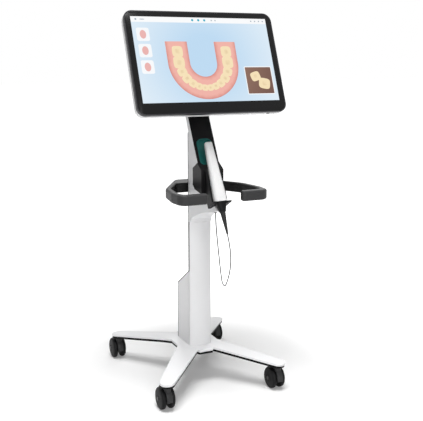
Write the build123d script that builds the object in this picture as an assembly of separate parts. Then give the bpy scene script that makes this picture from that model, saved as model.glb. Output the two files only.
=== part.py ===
from build123d import *
import os
from math import atan2, cos, degrees, pi, radians, sin, tan

# Intraoral scanner on a wheeled stand: touch display, cradle, wand and handle.
# Millimetres, +Z up, the front towards -Y. The model is worked out about the middle of the
# four caster stems and moved at the end, so that the origin lies on the floor under the
# middle of the whole object's box.

# Fits shared by all sub-parts
running_clearance = 0.05
moving_gap = 0.3
seat_gap = 0.2
cut_over = 1.0

# Casters
wheel_radius = 38.0
wheel_width = 18.0
wheel_side_gap = 1.0
wheel_tread_round = 5.0
wheel_dish_depth = 3.0
wheel_dish_radius = 29.0
wheel_hub_radius = 12.0
axle_radius = 4.0
axle_head_radius = 6.5
axle_head_thickness = 1.6
caster_trail = 21.0
web_thickness = 14.0
web_hub_radius = 15.0
hood_clearance = 2.5
hood_wall = 4.0
hood_skirt = 4.0
swivel_boss_radius = 12.0
swivel_boss_height = 2.0
stem_radius = 5.0
stem_depth = 24.0
stem_grip = 7.0
stem_flange_radius = 11.0
stem_flange_thickness = 1.5

# Four-legged base
stem_x = 208.75
stem_y = 257.4
leg_tip_radius = 26.5
leg_root_radius = 40.0
leg_root_distance = 85.0
hub_half_width = 78.0
hub_half_depth = 111.0
hub_front_flat = 50.0
hub_side_flat = 60.0
hub_top = 131.0
hub_flat_radius = 95.0
leg_top_at_tip = 103.0
leg_arch_radius = 300.0
cover_thickness = 7.0
frame_thickness = 9.0
frame_inset = 2.0
leg_socket_radius = 16.0
hub_block_radius = 62.0
hub_block_depth = 16.0

# Column
column_half_width = 41.0
column_apex_y = -69.0
column_corner_y = -57.0
column_shell_back = -50.0
column_corner_round = 6.0
column_wall = 4.0
column_seam = 588.0
column_seam_gap = 0.6
core_half_width = 20.0
core_back = -24.0
core_wall = 3.0
core_rise = 277.0
back_cover_wall = 7.0
back_cover_half_width = 26.0
back_cover_edge = 5.0
back_cover_rise = 317.0

# Rear power compartment
box_back = 56.0
box_shoulder = 343.0
box_slope_top = 413.0
box_wall = 3.5
lid_thickness = 4.0
supply_width = 58.0
supply_depth = 48.0
supply_height = 120.0
inlet_width = 28.0
inlet_height = 21.0
inlet_depth = 18.0
inlet_flange = 3.0
inlet_lift = 34.0
inlet_pin_pitch = 7.0
inlet_pin_width = 2.0
inlet_pin_height = 4.0

# Leaning neck
neck_lean = 28.5
neck_front_y = -45.0
neck_front_rise = 367.0
neck_thickness = 17.6
neck_bend_radius = 60.0
neck_bend_angle = 60.0
neck_head_length = 20.0
panel_half_width = 39.0
panel_thickness = 3.0
panel_foot_rise = 218.0
wing_foot_rise = 74.0

# Cradle
cup_back = -88.0
cup_shoulder_rise = 197.0
cup_heel_rise = 139.0
cup_sole_y = -104.0
cup_sole_rise = 125.0
cup_front = -161.0
cup_toe_rise = 116.0
cradle_rise = 270.7
trough_half_width = 29.0
trough_start = 95.0
trough_end = 219.0
trough_floor = -15.0
trough_rim = 26.0
foot_half_width = 33.0
foot_rim = 47.0
liner_half_width = 29.0
liner_top = 26.5
liner_bottom = 72.0
liner_corner = 20.0
liner_lip = 3.0
liner_depth = 10.0
liner_wall = 2.5
chin_half_width = 13.0
chin_start_y = -62.0
chin_nose_length = 17.0
chin_nose_rise = 8.0
chin_round = 11.0
chin_sag_y = -130.0
chin_sag_rise = 45.0
chin_foot_rise = 12.0

# Wand, with the body's sections given as distance from the tip, width and thickness
wand_axis_height = 30.0
sleeve_length = 72.0
sleeve_tip_width = 27.0
sleeve_tip_thickness = 21.0
sleeve_tip_round = 5.0
sleeve_root_width = 34.0
sleeve_root_thickness = 28.0
wand_length = 214.0
wand_tail_width = 46.0
wand_tail_thickness = 38.0
wand_corner_share = 0.42
wand_side_room = 1.5
lift_room = 40.0
button_position = 150.0
button_length = 26.0
button_width = 9.0
button_thickness = 3.0
button_proud = 0.8
button_travel = 1.2
window_size = 13.0
window_thickness = 1.5
window_proud = 0.5
window_position = 18.0
cap_length = 33.0
cap_top_width = 40.0
cap_top_thickness = 30.0
cap_end_radius = 11.0
relief_start_radius = 9.5
relief_end_radius = 3.2
relief_length = 77.0

# Cable from the wand's tail back to the cradle's nose, as points of Y and Z in the middle plane
cable_diameter = 4.2
cable_bend_share = 0.45
gland_radius = 5.0
gland_length = 14.0
gland_rise = 54.0
cable_route = [
    (-278.3, 588.2),
    (-294.5, 558.3),
    (-304.5, 519.5),
    (-302.5, 480.0),
    (-289.5, 446.0),
    (-275.5, 423.0),
    (-268.0, 412.0),
    (-258.5, 406.0),
    (-248.0, 406.5),
    (-239.5, 413.5),
    (-234.0, 425.5),
    (-226.5, 449.0),
    (-216.0, 489.0),
    (-205.0, 531.5),
    (-194.8, 574.0),
    (-188.0, 612.0),
    (-186.0, 642.0),
]

# Handle
handle_rise = 101.0
handle_height = 35.0
handle_edge_round = 7.0
handle_deck_back = 64.0
handle_deck_half_width = 48.0
handle_deck_front = -24.0
handle_deck_round = 30.0
handle_arm_x = 150.0
handle_arm_y = -105.0
handle_arm_thickness = 22.0
handle_arm_round = 100.0
handle_side_x = 166.0
handle_side_y = -200.0
handle_side_round = 50.0
handle_front_x = 160.0
handle_front = -268.0
handle_corner_round = 30.0
handle_inner_round = 16.0
handle_bar_thickness = 27.0
handle_end_x = 62.0
handle_end_round = 12.0

# Display, worked out upright about the middle of its glass and then leaned back
display_width = 540.0
display_height = 358.0
display_corner = 30.0
display_lean = 22.3
display_centre_y = -120.2
display_rise = 553.0
glass_thickness = 3.0
trim_width = 4.0
trim_depth = 12.0
trim_lip = 10.0
screen_side_margin = 23.0
screen_top_margin = 21.0
screen_bottom_margin = 41.0
screen_overlap = 2.0
screen_thickness = 7.0
screen_corner = 2.0
rear_inset = 2.0
rear_wall_depth = 20.0
rear_slope_inset = 30.0
rear_slope_depth = 16.0
rear_boss_width = 250.0
rear_boss_height = 200.0
rear_boss_depth = 10.0
rear_pocket_margin = 18.0
rear_floor = 9.0
board_width = 190.0
board_height = 130.0
board_thickness = 2.0
board_corner = 3.0
board_pillar_inset = 10.0
board_pillar_radius = 3.5
board_pillar_height = 3.0
sink_width = 90.0
sink_height = 60.0
sink_depth = 8.0
sink_corner = 2.0
power_button_radius = 5.0
power_button_inset = 65.0
power_button_proud = 1.0
power_button_travel = 1.5
power_button_length = 6.0
power_button_flange = 1.5

# Tilt hinge behind the display
hinge_radius = 12.0
hinge_half_width = 30.0
hinge_reach = 12.0
hinge_web = 19.0
pin_radius = 5.0
pin_head_radius = 8.0
pin_head_thickness = 3.0
ear_thickness = 8.0
plate_thickness = 4.0
plate_half_width = 55.0
plate_height = 110.0
plate_corner = 8.0
ear_root_height = 60.0

# Heights of what stands on the column, from its seam
core_top = column_seam + core_rise
neck_front_z = column_seam + neck_front_rise
panel_foot = column_seam + panel_foot_rise
wing_foot = column_seam + wing_foot_rise
cup_shoulder = column_seam + cup_shoulder_rise
cup_heel = column_seam + cup_heel_rise
cup_sole = column_seam + cup_sole_rise
cup_toe = column_seam + cup_toe_rise
cradle_datum = column_seam + cradle_rise
chin_sag_z = column_seam + chin_sag_rise
back_cover_top = column_seam + back_cover_rise
handle_bottom = column_seam + handle_rise
handle_top = handle_bottom + handle_height
display_centre_z = column_seam + display_rise
gland_foot = column_seam + gland_rise

nodes = {}


def on_side(points):
    """Face in the YZ plane from points of Y and Z."""
    return Plane.YZ * make_face(Polyline(*points, close=True))


def across(face, half_width):
    """Solid that a side view face sweeps, the same distance to both sides."""
    return extrude(face, amount=half_width, both=True)


def block(low, high):
    """Box between two opposite corners."""
    middle = [(a + b) / 2 for a, b in zip(low, high)]
    size = [b - a for a, b in zip(low, high)]
    return Pos(*middle) * Box(*size)


def rod(radius, low, high, x=0.0, y=0.0):
    """Upright round bar between two heights."""
    return Pos(x, y, (low + high) / 2) * Cylinder(radius, high - low)


def cross_rod(radius, low, high, y=0.0, z=0.0):
    """Round bar along X between two places."""
    return Pos((low + high) / 2, y, z) * Rot(0, 90, 0) * Cylinder(radius, high - low)


# Casters: each has a fixed stem, a hood that swivels on it, an axle and two wheels
web_half = web_thickness / 2
wheel_inner_x = web_half + wheel_side_gap
wheel_outer_x = wheel_inner_x + wheel_width
hood_inner = wheel_radius + hood_clearance
hood_outer = hood_inner + hood_wall
swivel_boss_top = wheel_radius + hood_outer + swivel_boss_height
leg_seat = swivel_boss_top + moving_gap + stem_flange_thickness


def caster_hood():
    axle_place = Pos(caster_trail, wheel_radius)
    upper_half = Rectangle(3 * hood_outer, 2 * hood_outer)
    upper_half = Pos(caster_trail, wheel_radius - hood_skirt + hood_outer) * upper_half
    ring = axle_place * (Circle(hood_outer) - Circle(hood_inner))
    hood = across(Plane.YZ * (ring & upper_half), wheel_outer_x)
    web = (axle_place * Circle(hood_outer) & upper_half) + axle_place * Circle(web_hub_radius)
    hood += across(Plane.YZ * web, web_half)
    hood += rod(swivel_boss_radius, swivel_boss_top - stem_depth, swivel_boss_top)
    wheel_room = cross_rod(hood_inner, web_half, 2 * wheel_outer_x, caster_trail, wheel_radius)
    hood -= wheel_room
    hood -= mirror(wheel_room, about=Plane.YZ)
    stem_end = swivel_boss_top - stem_depth - moving_gap
    hood -= rod(stem_radius + running_clearance, stem_end, swivel_boss_top)
    hood -= cross_rod(axle_radius, -web_thickness, web_thickness, caster_trail, wheel_radius)
    return hood


def caster_wheel():
    bore = axle_radius + running_clearance
    dish_x = wheel_outer_x - wheel_dish_depth
    section = make_face(
        Polyline(
            (wheel_inner_x, bore),
            (wheel_inner_x, wheel_radius),
            (wheel_outer_x, wheel_radius),
            (wheel_outer_x, wheel_dish_radius),
            (dish_x, wheel_dish_radius - wheel_dish_depth),
            (dish_x, wheel_hub_radius + wheel_dish_depth),
            (wheel_outer_x, wheel_hub_radius),
            (wheel_outer_x, bore),
            close=True,
        )
    )
    section = fillet(section.vertices().group_by(Axis.Y)[-1], wheel_tread_round)
    wheel = revolve(Plane.XZ * section, Axis.X)
    return Pos(0, caster_trail, wheel_radius) * wheel


def caster_axle():
    head_x = wheel_outer_x + moving_gap
    reach = head_x + axle_head_thickness
    axle = cross_rod(axle_radius, -reach, reach, caster_trail, wheel_radius)
    axle += cross_rod(axle_head_radius, head_x, reach, caster_trail, wheel_radius)
    axle += cross_rod(axle_head_radius, -reach, -head_x, caster_trail, wheel_radius)
    return axle


def caster_stem():
    stem = rod(stem_radius, swivel_boss_top - stem_depth, leg_seat + stem_grip)
    return stem + rod(stem_flange_radius, leg_seat - stem_flange_thickness, leg_seat)


caster_places = {
    "front_left": (-stem_x, -stem_y),
    "front_right": (stem_x, -stem_y),
    "rear_left": (-stem_x, stem_y),
    "rear_right": (stem_x, stem_y),
}
hood, wheel, axle, stem = caster_hood(), caster_wheel(), caster_axle(), caster_stem()
other_wheel = mirror(wheel, about=Plane.YZ)
for corner, (x, y) in caster_places.items():
    nodes[f"caster_stem_{corner}"] = Pos(x, y) * stem
    nodes[f"caster_hood_{corner}"] = Pos(x, y) * hood
    nodes[f"caster_axle_{corner}"] = Pos(x, y) * axle
    nodes[f"caster_wheel_right_{corner}"] = Pos(x, y) * wheel
    nodes[f"caster_wheel_left_{corner}"] = Pos(x, y) * other_wheel


# Base: an X of tapered legs under a thin cover, both bent over the same low arch
def leg_plan(inset):
    """Plan of the whole base, pulled in on all sides by a distance."""
    reach = (stem_x**2 + stem_y**2) ** 0.5
    root_x = leg_root_distance * stem_x / reach
    root_y = leg_root_distance * stem_y / reach
    plan = Sketch()
    for sx, sy in ((-1, -1), (1, -1), (1, 1), (-1, 1)):
        tip = Pos(sx * stem_x, sy * stem_y) * Circle(leg_tip_radius - inset)
        root = Pos(sx * root_x, sy * root_y) * Circle(leg_root_radius - inset)
        plan += make_hull(tip.edges() + root.edges())
    half_x = hub_half_width - inset
    half_y = hub_half_depth - inset
    corners = [
        (hub_front_flat / 2, half_y),
        (half_x, hub_side_flat / 2),
        (half_x, -hub_side_flat / 2),
        (hub_front_flat / 2, -half_y),
    ]
    hub = make_face(Polyline(*corners, *[(-x, y) for x, y in reversed(corners)], close=True))
    return plan + hub


def arched_layer(drop, thickness):
    """Solid of revolution between the base's arched top, lowered, and a thickness below it."""
    reach = (stem_x**2 + stem_y**2) ** 0.5
    slope = (hub_top - leg_top_at_tip) / (reach - hub_flat_radius)
    rim = reach + 2 * leg_tip_radius
    rim_top = leg_top_at_tip - slope * 2 * leg_tip_radius

    def arch(lower):
        points = [(0, hub_top - lower), (hub_flat_radius, hub_top - lower), (rim, rim_top - lower)]
        return FilletPolyline(*points, radius=leg_arch_radius)

    top = arch(drop)
    bottom = arch(drop + thickness)
    edges = [top, Line(top @ 1, bottom @ 1), bottom, Line(bottom @ 0, top @ 0)]
    return revolve(Plane.XZ * make_face(Curve() + edges), Axis.Z)


frame_bottom = hub_top - cover_thickness - frame_thickness
box_floor = hub_top + box_wall
core_room = block(
    (-core_half_width - seat_gap, column_shell_back - seat_gap, frame_bottom - cut_over),
    (core_half_width + seat_gap, core_back + seat_gap, box_floor + cut_over),
)
base_cover = extrude(leg_plan(0), amount=2 * hub_top) & arched_layer(0, cover_thickness)
base_cover -= core_room
base_frame = extrude(leg_plan(frame_inset), amount=2 * hub_top)
base_frame &= arched_layer(cover_thickness, frame_thickness)
for x, y in caster_places.values():
    base_frame += rod(leg_socket_radius, leg_seat, leg_seat + stem_grip, x, y)
    base_frame -= rod(leg_tip_radius, leg_seat - frame_thickness, leg_seat, x, y)
    base_frame -= rod(stem_radius, leg_seat, leg_seat + stem_grip, x, y)
base_frame -= core_room
nodes["base_cover"] = base_cover
nodes["base_frame"] = base_frame
nodes["base_hub_block"] = rod(hub_block_radius, frame_bottom - hub_block_depth, frame_bottom)


# Column: bowed front shell, box-section core and a tapered back cover
def column_section(wall):
    """Plan of the front shell's outline, pulled in by the wall."""
    half = column_half_width - wall
    corner_y = column_corner_y + wall
    bow = ThreePointArc((-half, corner_y), (0, column_apex_y + wall), (half, corner_y))
    back = column_shell_back + wall
    sides = Polyline(bow @ 1, (half, back), (-half, back), bow @ 0)
    return make_face(Curve() + [bow, sides])


column_outline = column_section(0)
front_corners = column_outline.vertices().group_by(Axis.Y)[1]
column_outline = fillet(front_corners, column_corner_round)
column_inside = column_section(column_wall)
column_front = extrude(column_outline - column_inside, amount=column_seam - hub_top)
nodes["column_front"] = Pos(0, 0, hub_top) * column_front

core = block(
    (-core_half_width, column_shell_back, frame_bottom),
    (core_half_width, core_back, core_top),
)
core -= block(
    (-core_half_width + core_wall, column_shell_back + core_wall, frame_bottom),
    (core_half_width - core_wall, core_back - core_wall, core_top),
)
nodes["column_core"] = core

slope = (box_slope_top - box_shoulder) / (box_back - column_shell_back)
slope_angle = degrees(atan2(box_slope_top - box_shoulder, box_back - column_shell_back))
lid_drop = lid_thickness / cos(radians(slope_angle))
cover_front = column_shell_back + seat_gap
cover_back = core_back + back_cover_wall


def back_cover_plan(grow):
    """Plan of the tapered back cover, grown on the outside by a distance."""
    points = [
        (column_half_width + grow, cover_front),
        (column_half_width + grow, cover_front + back_cover_edge),
        (back_cover_half_width + grow, cover_back + grow),
    ]
    return make_face(Polyline(*points, *[(-x, y) for x, y in reversed(points)], close=True))


def slope_height(y):
    """Height of the compartment's sloping lid at a place in Y."""
    return box_slope_top - slope * (y - column_shell_back)


back_cover = extrude(back_cover_plan(0), amount=back_cover_top)
back_cover &= across(
    on_side(
        [
            (cover_front, slope_height(cover_front) + seat_gap),
            (cover_front, back_cover_top),
            (cover_back, back_cover_top - (cover_back - cover_front)),
            (cover_back, slope_height(cover_back) + seat_gap),
        ]
    ),
    2 * column_half_width,
)
back_cover -= block(
    (-core_half_width - seat_gap, column_shell_back, 0),
    (core_half_width + seat_gap, core_back + seat_gap, back_cover_top + cut_over),
)
nodes["column_back"] = back_cover

# Power compartment: white cheeks and floor, dark bent lid, supply and inlet inside
cheek_back = box_back - lid_thickness
cheeks = across(
    on_side(
        [
            (cover_front, hub_top),
            (cheek_back, hub_top),
            (cheek_back, slope_height(cheek_back) - lid_drop),
            (cover_front, slope_height(cover_front) - lid_drop),
        ]
    ),
    column_half_width,
)
cheeks -= block(
    (-column_half_width + box_wall, cover_front - cut_over, box_floor),
    (column_half_width - box_wall, box_back, box_slope_top),
)
cheeks -= core_room
lid = across(
    on_side(
        [
            (cheek_back, hub_top),
            (box_back, hub_top),
            (box_back, box_shoulder),
            (cover_front, slope_height(cover_front)),
            (cover_front, slope_height(cover_front) - lid_drop),
            (cheek_back, slope_height(cheek_back) - lid_drop),
        ]
    ),
    column_half_width,
)
lid -= block(
    (-core_half_width - seat_gap, column_shell_back, box_shoulder),
    (core_half_width + seat_gap, core_back + seat_gap, box_slope_top + cut_over),
)
inlet_middle = hub_top + inlet_lift


def inlet_block(margin, front, back):
    """Box of the inlet's outline, grown by a margin, between two places in Y."""
    half_x = inlet_width / 2 + margin
    half_z = inlet_height / 2 + margin
    return block((-half_x, front, inlet_middle - half_z), (half_x, back, inlet_middle + half_z))


lid -= inlet_block(0, cheek_back - cut_over, box_back + cut_over)
inlet_rim = box_back + inlet_flange / 2
inlet = inlet_block(0, box_back - inlet_depth, box_back)
inlet += inlet_block(inlet_flange, box_back, inlet_rim)
inlet -= inlet_block(-inlet_flange, box_back - inlet_depth + inlet_flange, inlet_rim)
for place in (-inlet_pin_pitch, 0, inlet_pin_pitch):
    inlet += block(
        (place - inlet_pin_width / 2, box_back - inlet_depth, inlet_middle - inlet_pin_height / 2),
        (place + inlet_pin_width / 2, box_back - inlet_flange, inlet_middle + inlet_pin_height / 2),
    )
supply_foot = inlet_middle + inlet_height
nodes["power_box"] = cheeks
nodes["power_box_lid"] = lid
nodes["mains_inlet"] = inlet
nodes["power_supply"] = block(
    (-supply_width / 2, core_back, supply_foot),
    (supply_width / 2, core_back + supply_depth, supply_foot + supply_height),
)

# Slanted frame of neck and cradle: S runs down the neck's front face, N stands out from it
lean_sin = sin(radians(neck_lean))
lean_cos = cos(radians(neck_lean))


def face_y(z):
    """Place in Y of the neck's slanted front face at a height."""
    return neck_front_y - (neck_front_z - z) * lean_sin / lean_cos


def slant(s, n):
    """Y and Z of a point given down the slanted face and out from it."""
    y = face_y(cradle_datum) - s * lean_sin - n * lean_cos
    z = cradle_datum - s * lean_cos + n * lean_sin
    return (y, z)


cradle_plane = Plane(
    origin=(0, face_y(cradle_datum), cradle_datum), x_dir=(1, 0, 0), z_dir=(0, -lean_cos, lean_sin)
)
wand_plane = Plane(
    origin=(0, *slant(0, wand_axis_height)), x_dir=(1, 0, 0), z_dir=(0, -lean_sin, -lean_cos)
)


def slanted_block(half_width, s_low, s_high, n_low, n_high):
    """Box that lies along the slanted face."""
    return cradle_plane * block((-half_width, -s_high, n_low), (half_width, -s_low, n_high))


# Neck: leaning shell with a gooseneck top, and the dark panel let into its front
bend_y = neck_front_y - neck_bend_radius * lean_cos
bend_z = neck_front_z + neck_bend_radius * lean_sin
head_angle = neck_bend_angle - neck_lean
head_y = -neck_head_length * sin(radians(head_angle))
head_z = neck_head_length * cos(radians(head_angle))


def neck_arc(radius):
    return CenterArc((bend_y, bend_z), radius, -neck_lean, neck_bend_angle)


inner_arc = neck_arc(neck_bend_radius)
outer_arc = neck_arc(neck_bend_radius + neck_thickness)
panel_arc = neck_arc(neck_bend_radius + panel_thickness)
shoulder_y = face_y(panel_foot)
chin_back = column_apex_y + column_wall
trough_root_s = (face_y(cradle_datum) - trough_floor * lean_cos - cup_front) / lean_sin
back_start = outer_arc @ 0
back_foot_z = back_start.Y - (back_start.X - column_shell_back) * lean_cos / lean_sin
inner_head = inner_arc @ 1 + Vector(head_y, head_z)
outer_head = outer_arc @ 1 + Vector(head_y, head_z)
wing_outline = [
    inner_arc,
    Line(inner_arc @ 1, inner_head),
    Line(inner_head, outer_head),
    Line(outer_head, outer_arc @ 1),
    outer_arc,
    Polyline(
        outer_arc @ 0,
        (column_shell_back, back_foot_z),
        (column_shell_back, column_seam + column_seam_gap),
        (chin_back, column_seam + column_seam_gap),
        (chin_back, wing_foot),
        (cup_front, cup_toe),
        (cup_sole_y, cup_sole),
        (cup_back, cup_heel),
        (cup_back, cup_shoulder),
        (shoulder_y, panel_foot),
        inner_arc @ 0,
    ),
]
neck = across(Plane.YZ * make_face(Curve() + wing_outline), column_half_width)
neck_foot = extrude(column_outline, amount=wing_foot - column_seam)
neck += Pos(0, 0, column_seam + column_seam_gap) * neck_foot

# Chin: the white support that runs forward under the trough and ends in a round nose
nose_bottom = slant(trough_end + chin_nose_length, -chin_nose_rise)
nose_top = slant(trough_end + chin_nose_length, chin_nose_rise)
chin_foot = column_seam + chin_foot_rise
chin_sweep = ThreePointArc(nose_bottom, (chin_sag_y, chin_sag_z), (chin_back, chin_foot))
chin_edges = [
    chin_sweep,
    Polyline(
        chin_sweep @ 1,
        (chin_back, cup_sole),
        (cup_sole_y, cup_sole),
        (cup_front, cup_toe),
        slant(trough_root_s, trough_floor),
        slant(trough_end, trough_floor),
        slant(trough_end, chin_nose_rise),
        nose_top,
        nose_bottom,
    ),
]
chin = across(Plane.YZ * make_face(Curve() + chin_edges), column_half_width)
nose_y = slant(trough_end + chin_nose_length, 0)[0] - chin_nose_rise
chin_plan = make_face(
    Polyline(
        (-column_half_width, 0),
        (-column_half_width, chin_start_y),
        (-chin_half_width, nose_y),
        (chin_half_width, nose_y),
        (column_half_width, chin_start_y),
        (column_half_width, 0),
        close=True,
    )
)
chin_plan = fillet(chin_plan.vertices().group_by(Axis.Y)[0], chin_round)
chin &= extrude(chin_plan, amount=back_cover_top)
neck += chin

panel_edges = [
    inner_arc,
    Line(inner_arc @ 1, panel_arc @ 1),
    panel_arc,
    Polyline(
        panel_arc @ 0,
        (shoulder_y + panel_thickness * lean_cos, panel_foot - panel_thickness * lean_sin),
        (shoulder_y, panel_foot),
        inner_arc @ 0,
    ),
]
panel_face = Plane.YZ * make_face(Curve() + panel_edges)
panel = across(panel_face, panel_half_width)
neck -= across(panel_face, panel_half_width + seat_gap)


def liner_plan(grow):
    """Outline of the recess, in the slanted face's own X and up directions."""
    half = liner_half_width + grow
    top = liner_top + grow
    bottom = -liner_bottom - grow
    outline = Pos(0, (top + bottom) / 2) * Rectangle(2 * half, top - bottom)
    return fillet(outline.vertices(), liner_corner + grow)


def slanted_plate(sketch, n_low, n_high):
    return cradle_plane * (Pos(0, 0, n_low) * extrude(sketch, amount=n_high - n_low))


liner = slanted_plate(liner_plan(0), -liner_depth, liner_lip)
liner -= slanted_plate(liner_plan(-liner_wall), -liner_depth + liner_wall, 2 * liner_lip)
liner_pocket = slanted_plate(liner_plan(seat_gap), -liner_depth, 2 * liner_lip)


# Wand: round-cornered body that swells towards the tail
def wand_section(place, width, thickness, grow=0.0):
    corner = wand_corner_share * min(width, thickness) + grow
    return Pos(0, 0, place) * RectangleRounded(width + 2 * grow, thickness + 2 * grow, corner)


body_start = sleeve_length + seat_gap
sleeve = loft(
    [
        wand_section(0, sleeve_tip_width, sleeve_tip_thickness),
        wand_section(sleeve_length, sleeve_root_width, sleeve_root_thickness),
    ]
)
sleeve = fillet(sleeve.faces().sort_by(Axis.Z)[0].edges(), sleeve_tip_round)
tip_fall = (sleeve_root_thickness - sleeve_tip_thickness) / 2 * window_position / sleeve_length
window_y = -sleeve_tip_thickness / 2 - tip_fall
window = block(
    (-window_size / 2, window_y - window_proud, window_position - window_size / 2),
    (window_size / 2, window_y + window_thickness, window_position + window_size / 2),
)
sleeve -= window
body = loft(
    [
        wand_section(body_start, sleeve_root_width, sleeve_root_thickness),
        wand_section(wand_length, wand_tail_width, wand_tail_thickness),
    ]
)


def body_half_width(place):
    share = (place - sleeve_length) / (wand_length - sleeve_length)
    return (sleeve_root_width + share * (wand_tail_width - sleeve_root_width)) / 2


def side_button(grow, low, high):
    """Long oval pad on the wand's right side between two places in X."""
    oval = SlotOverall(button_length + 2 * grow, button_width + 2 * grow, rotation=90)
    return Pos(low, 0, 0) * extrude(Plane.YZ * (Pos(0, button_position) * oval), amount=high - low)


button_face = body_half_width(button_position) + button_proud
button_root = button_face - button_thickness
right_button = side_button(0, button_root, button_face)
pocket_root = button_root - button_travel - moving_gap
button_pocket = side_button(moving_gap, pocket_root, button_face + button_proud)
body -= button_pocket
body -= mirror(button_pocket, about=Plane.YZ)
cap = loft(
    [
        wand_section(wand_length, cap_top_width, cap_top_thickness),
        wand_section(wand_length + cap_length, 2 * cap_end_radius, 2 * cap_end_radius),
    ]
)
relief_start = wand_length + cap_length
relief = Cone(relief_start_radius, relief_end_radius, relief_length)
relief = Pos(0, 0, relief_start + relief_length / 2) * relief
nodes["wand_sleeve"] = wand_plane * sleeve
nodes["wand_window"] = wand_plane * window
nodes["wand_body"] = wand_plane * body
nodes["wand_button_right"] = wand_plane * right_button
nodes["wand_button_left"] = wand_plane * mirror(right_button, about=Plane.YZ)
nodes["wand_tail_cap"] = wand_plane * cap
nodes["wand_strain_relief"] = wand_plane * relief

# Cradle: dark cup and trough, with the bed of the wand cut out along its whole length
cup = across(
    on_side(
        [
            (shoulder_y, panel_foot),
            (cup_back, cup_shoulder),
            (cup_back, cup_heel),
            (cup_sole_y, cup_sole),
            (cup_front, cup_toe),
            (cup_front, cup_shoulder),
        ]
    ),
    column_half_width,
)
cradle = cup + slanted_block(trough_half_width, trough_start, trough_end, trough_floor, trough_rim)
tail_seat = wand_length + moving_gap
cradle += slanted_block(foot_half_width, tail_seat, trough_end, 0, foot_rim)


def bed_section(place, width, thickness, room, grow):
    """Slot that holds a wand section, open for lifting the wand out of the front."""
    corner = wand_corner_share * min(width, thickness) + grow
    slot = RectangleRounded(width + 2 * (room + grow), thickness + 2 * (lift_room + grow), corner)
    return Pos(0, lift_room, place) * slot


bed_sections = [
    bed_section(0, sleeve_tip_width, sleeve_tip_thickness, wand_side_room, seat_gap),
    bed_section(sleeve_length, sleeve_root_width, sleeve_root_thickness, wand_side_room, seat_gap),
    bed_section(tail_seat, wand_tail_width, wand_tail_thickness, wand_side_room, seat_gap),
]
bed = loft(bed_sections, ruled=True)
cap_slot = bed_section(tail_seat, cap_top_width, cap_top_thickness, 0, moving_gap)
bed += extrude(cap_slot, amount=cap_length)
cradle -= wand_plane * bed
cradle -= liner_pocket
neck -= slanted_block(foot_half_width, trough_start, trough_end, trough_floor, foot_rim)
neck -= slanted_plate(liner_plan(0), -liner_depth, 2 * liner_lip)
panel -= liner_pocket
nodes["cradle_body"] = cradle
nodes["cradle_liner"] = liner
nodes["neck_panel"] = panel

# Cable and its gland under the nose
gland_y = cable_route[-1][0]
gland = rod(gland_radius, gland_foot, gland_foot + gland_length, 0, gland_y)
neck -= gland
nodes["cable_gland"] = gland
nodes["neck_shell"] = neck
cable_points = [Vector(0, y, z) for y, z in cable_route]
bend_radii = []
for before, corner, after in zip(cable_points, cable_points[1:], cable_points[2:]):
    turn = radians((corner - before).get_angle(after - corner))
    shorter = min((corner - before).length, (after - corner).length)
    bend_radii.append(cable_bend_share * shorter / tan(turn / 2))
cable_path = FilletPolyline(*cable_points, radius=bend_radii)
cable_start = Plane(origin=cable_points[0], z_dir=cable_points[1] - cable_points[0])
cable = sweep(cable_start * Circle(cable_diameter / 2), path=cable_path)
cable_volume = pi * cable_diameter**2 / 4 * cable_path.length
print("cable bend radii", [round(radius, 1) for radius in bend_radii])
print("cable length", round(cable_path.length, 1))
print("cable volume", round(cable.volume), "section times length", round(cable_volume))
nodes["wand_cable"] = cable

# Handle: horseshoe moulding round the column with a deck behind it
arm_run = (handle_arm_x - handle_deck_half_width) / (handle_deck_back - handle_arm_y)
deck_side_x = handle_deck_half_width + (handle_deck_back - handle_deck_front) * arm_run
bar_inside = handle_front + handle_bar_thickness
handle_corners = [
    (handle_deck_half_width, handle_deck_back, handle_deck_round),
    (handle_arm_x, handle_arm_y, handle_arm_round),
    (handle_side_x, handle_side_y, handle_side_round),
    (handle_front_x, handle_front, handle_corner_round),
    (handle_end_x, handle_front, handle_end_round),
    (handle_end_x, bar_inside, handle_end_round),
    (handle_front_x - handle_arm_thickness, bar_inside, handle_inner_round),
    (handle_side_x - handle_arm_thickness, handle_side_y, handle_side_round),
    (handle_arm_x - handle_arm_thickness, handle_arm_y, handle_arm_round),
    (deck_side_x - handle_arm_thickness, handle_deck_front, handle_inner_round),
]
handle_loop = handle_corners + [(-x, y, rounding) for x, y, rounding in reversed(handle_corners)]
handle_points = [(x, y) for x, y, rounding in handle_loop]
handle_rounds = [rounding for x, y, rounding in handle_loop]
handle_plan = make_face(FilletPolyline(*handle_points, radius=handle_rounds, close=True))
handle = extrude(handle_plan, amount=handle_top - handle_bottom)
handle = fillet(handle.faces().filter_by(Axis.Z).edges(), handle_edge_round)
handle = Pos(0, 0, handle_bottom) * handle
handle -= extrude(back_cover_plan(seat_gap), amount=back_cover_top)
nodes["handle"] = handle

# Tilt hinge on the neck's head
head_middle = (inner_head + outer_head) * 0.5
hinge_y = head_middle.X - hinge_reach * sin(radians(head_angle))
hinge_z = head_middle.Y + hinge_reach * cos(radians(head_angle))
head_block = across(
    on_side(
        [
            (inner_head.X, inner_head.Y),
            (outer_head.X, outer_head.Y),
            (hinge_y + hinge_web / 2, hinge_z),
            (hinge_y - hinge_web / 2, hinge_z),
        ]
    ),
    hinge_half_width,
)
tilt_head = head_block + cross_rod(hinge_radius, -hinge_half_width, hinge_half_width, hinge_y, hinge_z)
pin_bore = pin_radius + running_clearance
tilt_head -= cross_rod(pin_bore, -hinge_half_width, hinge_half_width, hinge_y, hinge_z)
nodes["tilt_head"] = tilt_head

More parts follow.
